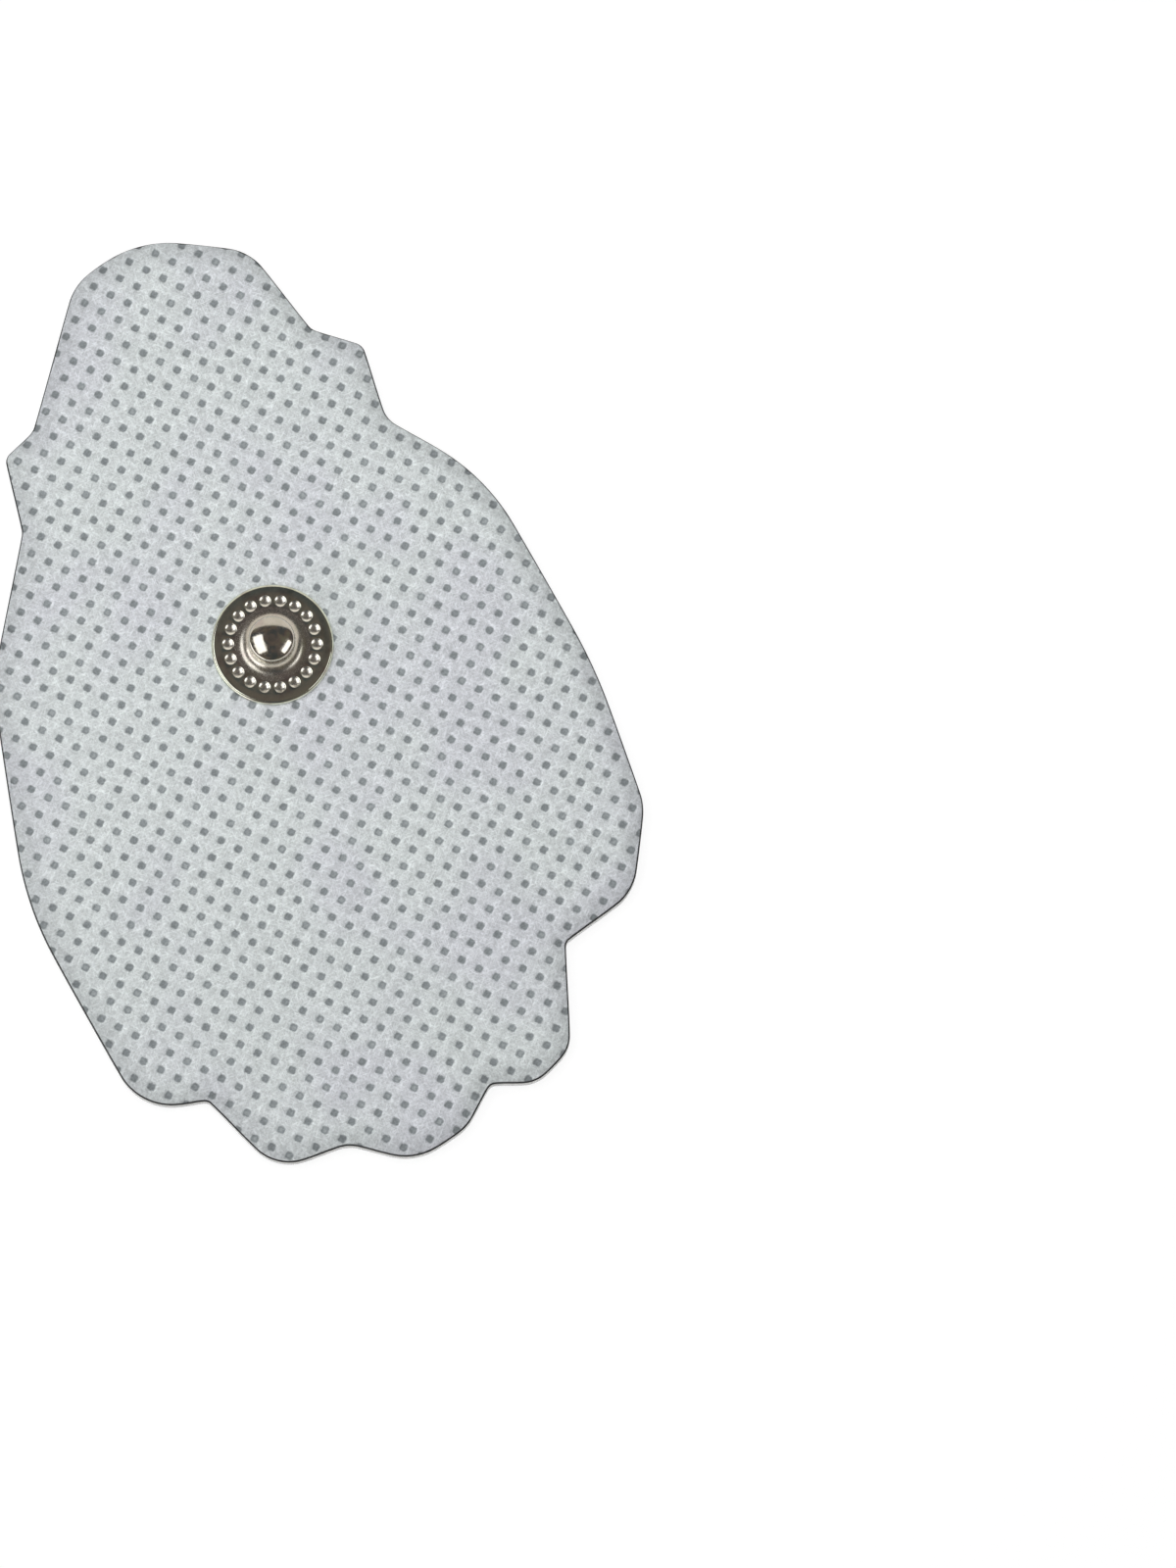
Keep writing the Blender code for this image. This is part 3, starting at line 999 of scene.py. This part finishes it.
@dataclass
class SnapStud:
    """The stamped stud: a domed head on a waisted neck, and a flange with pressed pearls.

    Args:
        rim: The height of the rim's lower edge.
        crown: The height of the crown's flat.
        flange_radius: The radius over the rim.
        undercut: The slope under the head, in degrees.
        pearl_shares: Where a pearl's rings lie, in shares of its radius.
        far_side: How much larger a pearl is on the metal's far side.
    """

    rim: float
    crown: float
    flange_radius: float
    metal: float = 0.25 * MM
    head_radius: float = 1.95 * MM
    crown_radius: float = 4.20 * MM
    crown_flat: float = 0.60 * MM
    shoulder: float = 0.35 * MM
    undercut: float = 40.0
    crown_steps: int = 10
    shoulder_steps: int = 12
    foot_steps: int = 14
    rim_steps: int = 10
    neck_radius: float = 1.65 * MM
    neck_bend: float = 1.25 * MM
    rim_bend: float = 0.30 * MM
    rim_drop: float = 0.15 * MM
    pearls: PearlRing = PearlRing()
    pearl_lip: float = 0.05 * MM
    pearl_shares: tuple[float, ...] = (0.96, 0.88, 0.78, 0.66, 0.53, 0.38, 0.22, 0.09)
    far_side: float = 0.02 * MM
    tile_inner: float = 3.10 * MM
    tile_outer: float = 4.36 * MM
    steps_per_tile: int = 6
    smooth: float = 60.0
    flange_top: float = field(init=False)

    def __post_init__(self) -> None:
        """Work out the height of the flange's flat face."""
        self.flange_top = self.rim + self.rim_drop + self.rim_bend

    def head(self) -> tuple[Pair, Pair, float]:
        """The centres of the crown and of the shoulder's bend, and the angle where they meet."""
        drop = self.crown_radius - math.sqrt(self.crown_radius**2 - self.crown_flat**2)
        crown_centre = (0.0, self.crown + drop - self.crown_radius)
        reach = self.crown_radius - self.shoulder
        angle = math.acos((self.head_radius - self.shoulder) / reach)
        centre = (reach * math.cos(angle), crown_centre[1] + reach * math.sin(angle))
        return crown_centre, centre, math.degrees(angle)

    def upper_section(self, inwards: float) -> list[Pair]:
        """The section from the axis of the head down to the flange's tiles.

        Args:
            inwards: 0 for the outside, or the metal's thickness for the inside.

        Returns:
            Points of the section, from the axis outwards.
        """
        crown_centre, centre, meet = self.head()
        radius = self.crown_radius - inwards
        flat = math.degrees(math.acos(self.crown_flat / self.crown_radius))
        bend = self.shoulder - inwards
        neck = self.neck_radius - inwards
        section = [(0.0, crown_centre[1] + radius * math.sin(math.radians(flat)))]
        section += [(self.crown_flat * 0.5, section[0][1])]
        section += arc(crown_centre, radius, flat, meet, self.crown_steps)
        section += arc(centre, bend, meet, -self.undercut, self.shoulder_steps)[1:]
        end = section[-1]
        section.append((neck, end[1] - (end[0] - neck) / math.tan(math.radians(self.undercut))))
        foot = (self.neck_radius + self.neck_bend, self.flange_top + self.neck_bend)
        section += arc(foot, self.neck_bend + inwards, 180.0, 270.0, self.foot_steps)
        section.append((self.tile_inner, self.flange_top - inwards))
        return section

    def rim_section(self) -> list[Pair]:
        """The section from the tiles' outer side round the rim to the tiles underneath."""
        centre = (self.flange_radius - self.rim_bend, self.flange_top - self.rim_bend)
        section = [(self.tile_outer, self.flange_top)]
        section += arc(centre, self.rim_bend, 90.0, 0.0, self.rim_steps)
        section.append((self.flange_radius, self.rim))
        section.append((self.flange_radius - self.metal, self.rim))
        section += arc(centre, self.rim_bend - self.metal, 0.0, 90.0, self.rim_steps // 2)
        section.append((self.tile_outer, self.flange_top - self.metal))
        return section

    def turn(self, section: list[Pair]) -> Object:
        """Spin a section about the snap's axis."""
        deselect_all()
        bpy.ops.mesh.primitive_circle_add(vertices=len(section) + 1)
        obj = bpy.context.object
        for vertex, (r, z) in zip(obj.data.vertices, section):
            vertex.co = (r * math.cos(self.seam()), r * math.sin(self.seam()), z)
        last = len(section)
        enter_edit(obj)
        bpy.ops.mesh.select_mode(type="VERT")
        bpy.ops.mesh.select_all(action="DESELECT")
        leave_edit()
        obj.data.vertices[last].select = True
        bpy.ops.object.mode_set(mode="EDIT")
        bpy.ops.mesh.delete(type="VERT")
        bpy.ops.mesh.select_all(action="SELECT")
        steps = self.pearls.count * self.steps_per_tile
        bpy.ops.mesh.spin(steps=steps, angle=2 * math.pi, center=(0, 0, 0), axis=(0, 0, 1))
        bpy.ops.mesh.select_all(action="SELECT")
        bpy.ops.mesh.remove_doubles(threshold=MERGE_DISTANCE)
        leave_edit()
        return obj

    def seam(self) -> float:
        """The angle of a line between two pearls."""
        return math.radians(self.pearls.start + 180.0 / self.pearls.count)

    def tile_border(self) -> list[Pair]:
        """The border of one pearl's tile: round its outer side, in, and back along its inner side."""
        half = math.pi / self.pearls.count
        shares = [index / self.steps_per_tile for index in range(self.steps_per_tile)]
        reach = self.tile_outer - self.tile_inner
        walk = [(self.tile_outer, -half + 2 * half * share) for share in shares]
        walk += [(self.tile_outer - reach * share, half) for share in shares]
        walk += [(self.tile_inner, half - 2 * half * share) for share in shares]
        walk += [(self.tile_inner + reach * share, -half) for share in shares]
        return [(r * math.cos(a), r * math.sin(a)) for r, a in walk]

    def bowl(self, grow: float) -> list[Pair]:
        """Radius and drop of the rings of one pearl, a round bowl, from its lip to its middle.

        Args:
            grow: How much larger the dent is, as on the far side of the metal.

        Returns:
            A radius and a drop below the flange for each ring.
        """
        radius, depth = self.pearls.radius + grow, self.pearls.depth
        rings = [(radius + self.pearl_lip, 0.0), (radius + 0.4 * self.pearl_lip, 0.03 * depth)]
        for share in self.pearl_shares:
            rings.append((radius * share, depth * (1.0 - share**self.pearls.roundness)))
        return rings

    def tile(self, height: float, grow: float) -> Object:
        """One pearl with the piece of flange round it.

        Args:
            height: The height of the flange's face.
            grow: How much larger the dent is.

        Returns:
            The tile, on the X axis.
        """
        rings = self.bowl(grow)
        border = self.tile_border()
        start = rings[0][0]
        place = (self.pearls.circle, 0.0, height)
        turn = (0.0, 0.0, -math.pi / 4)
        deselect_all()
        bpy.ops.mesh.primitive_circle_add(vertices=len(border), radius=start, location=place, rotation=turn)
        obj = bpy.context.object
        settle(obj)
        middle = Vector(place)
        enter_edit(obj)
        bpy.ops.mesh.select_all(action="SELECT")
        bpy.ops.mesh.extrude_region_move()
        leave_edit()
        for vertex in [vertex for vertex in obj.data.vertices if vertex.select]:
            turned = math.atan2(vertex.co.y, vertex.co.x - middle.x) + math.pi / 4
            index = round(turned / (2 * math.pi) * len(border)) % len(border)
            vertex.co = (*border[index], height)
        enter_edit(obj)
        bpy.ops.mesh.select_mode(type="VERT")
        bpy.ops.mesh.select_all(action="INVERT")
        for before, ring in zip(rings, rings[1:]):
            scale = ring[0] / before[0]
            bpy.ops.mesh.extrude_region_move(TRANSFORM_OT_translate={"value": (0, 0, before[1] - ring[1])})
            bpy.ops.transform.resize(value=(scale, scale, 1.0), center_override=middle)
        down = rings[-1][1] - self.pearls.depth
        bpy.ops.mesh.extrude_region_move(TRANSFORM_OT_translate={"value": (0, 0, down)})
        bpy.ops.mesh.merge(type="CENTER")
        leave_edit()
        return obj

    def tiles(self, height: float, grow: float) -> Object:
        """The ring of pearls on one face of the flange."""
        first = self.tile(height, grow)
        whole = [first]
        for index in range(1, self.pearls.count):
            other = first.copy()
            other.data = first.data.copy()
            bpy.context.scene.collection.objects.link(other)
            whole.append(other)
        for index, obj in enumerate(whole):
            angle = math.radians(self.pearls.start) + index * 2 * math.pi / self.pearls.count
            obj.data.transform(Matrix.Rotation(angle, 4, "Z"))
        return self.join(whole)

    @staticmethod
    def join(parts: list[Object]) -> Object:
        """Join objects into the first of them."""
        select_only(*parts)
        bpy.ops.object.join()
        return parts[0]

    def build(self) -> Object:
        """Model the stud: turned parts and pearls, joined into one closed shell."""
        outside = self.turn(self.upper_section(0.0))
        inside = self.turn(self.upper_section(self.metal))
        rim = self.turn(self.rim_section())
        face = self.tiles(self.flange_top, 0.0)
        underside = self.tiles(self.flange_top - self.metal, self.far_side)
        stud = self.join([outside, inside, rim, face, underside])
        enter_edit(stud)
        bpy.ops.mesh.select_all(action="SELECT")
        bpy.ops.mesh.remove_doubles(threshold=MERGE_DISTANCE)
        face_outwards()
        smooth_by_angle(stud, self.smooth)
        return stud


# The studio


@dataclass(frozen=True)
class SoftBox:
    """One soft light, placed by the direction that it shines from.

    Args:
        name: Its name.
        toward: Where it stands, seen from the pad: right, far and up, as shares.
        distance: How far away it stands.
        width: Its width.
        height: Its height.
        level: How bright its face is.
        spin: How far it is turned about its own axis, in degrees.
        in_metal: Whether bright metal shows it.
    """

    name: str
    toward: tuple[float, float, float]
    distance: float
    width: float
    height: float
    level: float
    spin: float = 0.0
    in_metal: bool = True

    def place(self, studio_turn: float) -> None:
        """Put the light in the scene, aimed at the pad."""
        data = bpy.data.lights.new(self.name, "AREA")
        data.shape = "RECTANGLE"
        data.size, data.size_y = self.width, self.height
        data.energy = self.level * math.pi * self.width * self.height
        lamp = new_object(self.name, data)
        direction = Matrix.Rotation(studio_turn, 3, "Z") @ Vector(self.toward).normalized()
        lamp.location = direction * self.distance
        aim = direction.to_track_quat("Z", "Y").to_matrix().to_4x4()
        spin = Matrix.Rotation(math.radians(self.spin), 4, "Z")
        lamp.matrix_world = Matrix.Translation(lamp.location) @ aim @ spin
        lamp.visible_camera = False
        lamp.visible_glossy = self.in_metal


@dataclass
class Studio:
    """The pale floor, the surroundings, the lights and the camera.

    Args:
        turn: How far the camera and the lights are turned about the pad.
        tilt: How far the camera looks away from straight down.
        shadow_reach: Where on the floor the shadow starts to fade, and where it is gone.
        paper: The share of white in the floor near the pad; the rest is lit, and holds the shadow.
        glow: How bright that white is.
        backdrop_edge: The soft step at the backdrop's edge.
        horizon_edge: The heights between which the pale surroundings end.
        room_tones: The tones of the dim room, each with its place on the ramp.
        fill: How bright the surroundings are to matt surfaces.
    """

    turn: float = math.radians(-12.0)
    tilt: float = math.radians(10.5)
    camera_place: tuple[float, float, float] = (-0.01156, -0.18162, 0.9095)
    lens: float = 253.3
    sensor: float = 36.0
    floor_size: float = 6.0
    floor_drop: float = 0.00002
    shadow_reach: Pair = (0.09, 0.26)
    paper: float = 0.82
    glow: float = 1.08
    backdrop_slope: float = 1.15
    backdrop_edge: Pair = (0.02, -0.02)
    horizon_edge: Pair = (0.32, 0.22)
    backdrop_tone: Colour = (0.80, 0.76, 0.70)
    room_scale: float = 3.0
    room_tones: tuple[tuple[float, Colour], ...] = (
        (0.40, (0.060, 0.068, 0.072)),
        (0.51, (0.125, 0.100, 0.090)),
        (0.62, (0.140, 0.135, 0.100)),
    )
    fill: float = 0.34
    boxes: tuple[SoftBox, ...] = (
        SoftBox("left softbox", (-0.485, -0.05, 0.875), 0.60, 0.44, 0.24, 1.78, spin=11.0),
        SoftBox("right softbox", (0.554, -0.14, 0.82), 0.60, 0.316, 0.115, 2.1, spin=-16.5),
        SoftBox("low left softbox", (-0.78, -0.50, 0.33), 0.70, 0.84, 0.20, 2.2),
        SoftBox("overhead softbox", (-0.05, 0.13, 1.0), 0.125, 0.085, 0.085, 2.95, in_metal=False),
    )

    def camera(self) -> None:
        """The camera, at the photograph's angle and distance."""
        data = bpy.data.cameras.new("camera")
        data.lens, data.sensor_width = self.lens, self.sensor
        data.clip_start, data.clip_end = 0.01, 20.0
        eye = new_object("camera", data)
        eye.location = self.camera_place
        eye.rotation_euler = (self.tilt, 0.0, self.turn)
        bpy.context.scene.camera = eye

    def floor(self) -> None:
        """A white floor that keeps the shadow close to the pad, and lets a camera below see up."""
        deselect_all()
        place = (0.0, 0.0, -self.floor_drop)
        bpy.ops.mesh.primitive_plane_add(size=self.floor_size, location=place)
        plane = bpy.context.object
        plane.name = "floor"
        settle(plane)
        graph = Graph("white floor")
        graph.set(base_color=(0.90, 0.90, 0.90, 1.0), roughness=0.9)
        path = graph.add("ShaderNodeLightPath")
        seen = graph.math("ADD", path.outputs["Is Camera Ray"], path.outputs["Is Glossy Ray"])
        seen = graph.math("ADD", seen, path.outputs["Is Transmission Ray"], clamp=True)
        away = graph.between(graph.length(graph.place()), *self.shadow_reach)
        share = graph.times(seen, graph.fade(away, 1.0 - self.paper, self.paper))
        white = graph.add("ShaderNodeEmission", {"Color": WHITE, "Strength": self.glow})
        lit = graph.add("ShaderNodeMixShader", {0: share, 1: graph.shader.outputs[0], 2: white.outputs[0]})
        clear = graph.add("ShaderNodeBsdfTransparent")
        back = graph.add("ShaderNodeNewGeometry").outputs["Backfacing"]
        both = graph.add("ShaderNodeMixShader", {0: back, 1: lit.outputs[0], 2: clear.outputs[0]})
        graph.links.new(both.outputs[0], graph.output.inputs["Surface"])
        plane.data.materials.append(graph.material)

    def surroundings(self) -> None:
        """The world: white to the camera, soft to matt surfaces, and a dim room to bright metal."""
        world = bpy.data.worlds.new("studio")
        bpy.context.scene.world = world
        world.use_nodes = True
        tree = Tree(world.node_tree)
        tree.nodes.clear()

        # The pale backdrop stands on the far side, up to a level edge
        far = Matrix.Rotation(self.turn, 3, "Z") @ Vector((0.0, 1.0, 0.0))
        place = tree.add("ShaderNodeTexCoord").outputs["Generated"]
        height = tree.add("ShaderNodeSeparateXYZ", {0: place}).outputs["Z"]
        rise = tree.fade(tree.dot(place, far), -self.backdrop_slope, height)
        backdrop = tree.between(rise, *self.backdrop_edge)
        pale = tree.math("MAXIMUM", backdrop, tree.between(height, *self.horizon_edge))

        uneven = tree.noise(place, 1.0 / self.room_scale)
        tones = tree.add("ShaderNodeValToRGB", {"Fac": uneven})
        ramp = tones.color_ramp.elements
        for element, (position, colour) in zip(ramp, (self.room_tones[0], self.room_tones[-1])):
            element.position = position
            element.color = rgba(colour)
        for position, colour in self.room_tones[1:-1]:
            ramp.new(position).color = rgba(colour)
        room = tree.mix(pale, tones.outputs["Color"], rgba(self.backdrop_tone))

        path = tree.add("ShaderNodeLightPath")
        soft = tree.mix(path.outputs["Is Glossy Ray"], rgba((self.fill,) * 3), room)
        rays = (path.outputs["Is Camera Ray"], path.outputs["Is Transmission Ray"])
        white = tree.mix(tree.math("ADD", *rays, clamp=True), soft, WHITE)
        background = tree.add("ShaderNodeBackground", {"Color": white})
        tree.add("ShaderNodeOutputWorld", {"Surface": background.outputs[0]})

    def build(self) -> None:
        """Set the whole studio up."""
        self.camera()
        self.floor()
        self.surroundings()
        for box in self.boxes:
            box.place(self.turn)
        bpy.context.scene.view_settings.view_transform = "Standard"


# The whole pad


@dataclass
class ElectrodePad:
    """The pad: its layers and its snap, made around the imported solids.

    Args:
        nodes: The frame's solids by name.
        lattice: The lattice of bonds.
        contact: The gap between two pieces that touch.
    """

    nodes: dict[str, Object]
    lattice: Lattice = field(default_factory=Lattice)
    contact: float = 0.001 * MM
    film_soft: float = 0.02 * MM
    gel_soft: float = 0.16 * MM
    gel_steps: int = 4
    pocket_gap: float = 0.02 * MM

    def height(self, layer: Layer) -> Pair:
        """The heights of a solid's underside and top."""
        low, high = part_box(layer.value)
        return low.z, high.z

    def layers(self) -> None:
        """The liner, the gel, the film and the fabric, each lying on the one below."""
        loops = top_loops(self.nodes[Layer.FILM.value])
        outline = Outline(loops[0])
        hole = float(np.linalg.norm(loops[1], axis=1).max())
        liner, film = self.height(Layer.LINER), self.height(Layer.FILM)
        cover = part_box(Layer.COVER.value)
        release = Slab(outline, *liner, self.film_soft).build()
        hand_over(release, "release_film", RELEASE_FILM.material(), Layer.LINER)

        gel_bottom, gel_top = liner[1] + self.contact, film[0] - self.contact
        pocket, floor = cover[1].x + self.pocket_gap, cover[0].z - self.contact
        gel = Slab(outline, gel_bottom, gel_top, self.gel_soft, self.gel_steps, pocket, floor).build()
        hand_over(gel, "gel_layer", HYDROGEL.material(), Layer.GEL)

        plate = Slab(outline, *film, self.film_soft, hole=hole).build()
        hand_over(plate, "black_film", CARBON.material(), Layer.FILM)

        fabric_top = self.height(Layer.FABRIC)[1]
        stud_low, stud_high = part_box(Layer.STUD.value)
        bottom = film[1] + self.contact
        face = FabricFace(outline, self.lattice, bottom, fabric_top, stud_low.z, stud_high.x, hole)
        nonwoven = NonwovenFinish(self.lattice).material()
        sheet = hand_over(face.build(), "fabric_face", nonwoven, Layer.FABRIC)
        area = loop_area(outline.inset(face.inset))

    def snap(self) -> None:
        """The stud, and the finishes of the eyelet and its cover."""
        low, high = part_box(Layer.STUD.value)
        stud = SnapStud(low.z, high.z, high.x).build()
        hand_over(stud, "stud_shell", NickelFinish().material(), Layer.STUD)
        self.dress(Layer.EYELET, NickelFinish("nickel plate inside", roughness=0.22).material())
        self.dress(Layer.COVER, WHITE_PATCH.material())

    def dress(self, layer: Layer, material: Material) -> None:
        """Give a solid of the frame its finish."""
        node = self.nodes[layer.value]
        node.data.materials.clear()
        node.data.materials.append(material)
        log.info("%s: finish %s", layer.value, material.name)


def main() -> None:
    """Build the looks around the frame."""
    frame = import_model()
    Studio().build()
    pad = ElectrodePad(frame["nodes"])
    pad.layers()
    pad.snap()


if __name__ == "__main__":
    logging.basicConfig(level=logging.INFO)
    main()
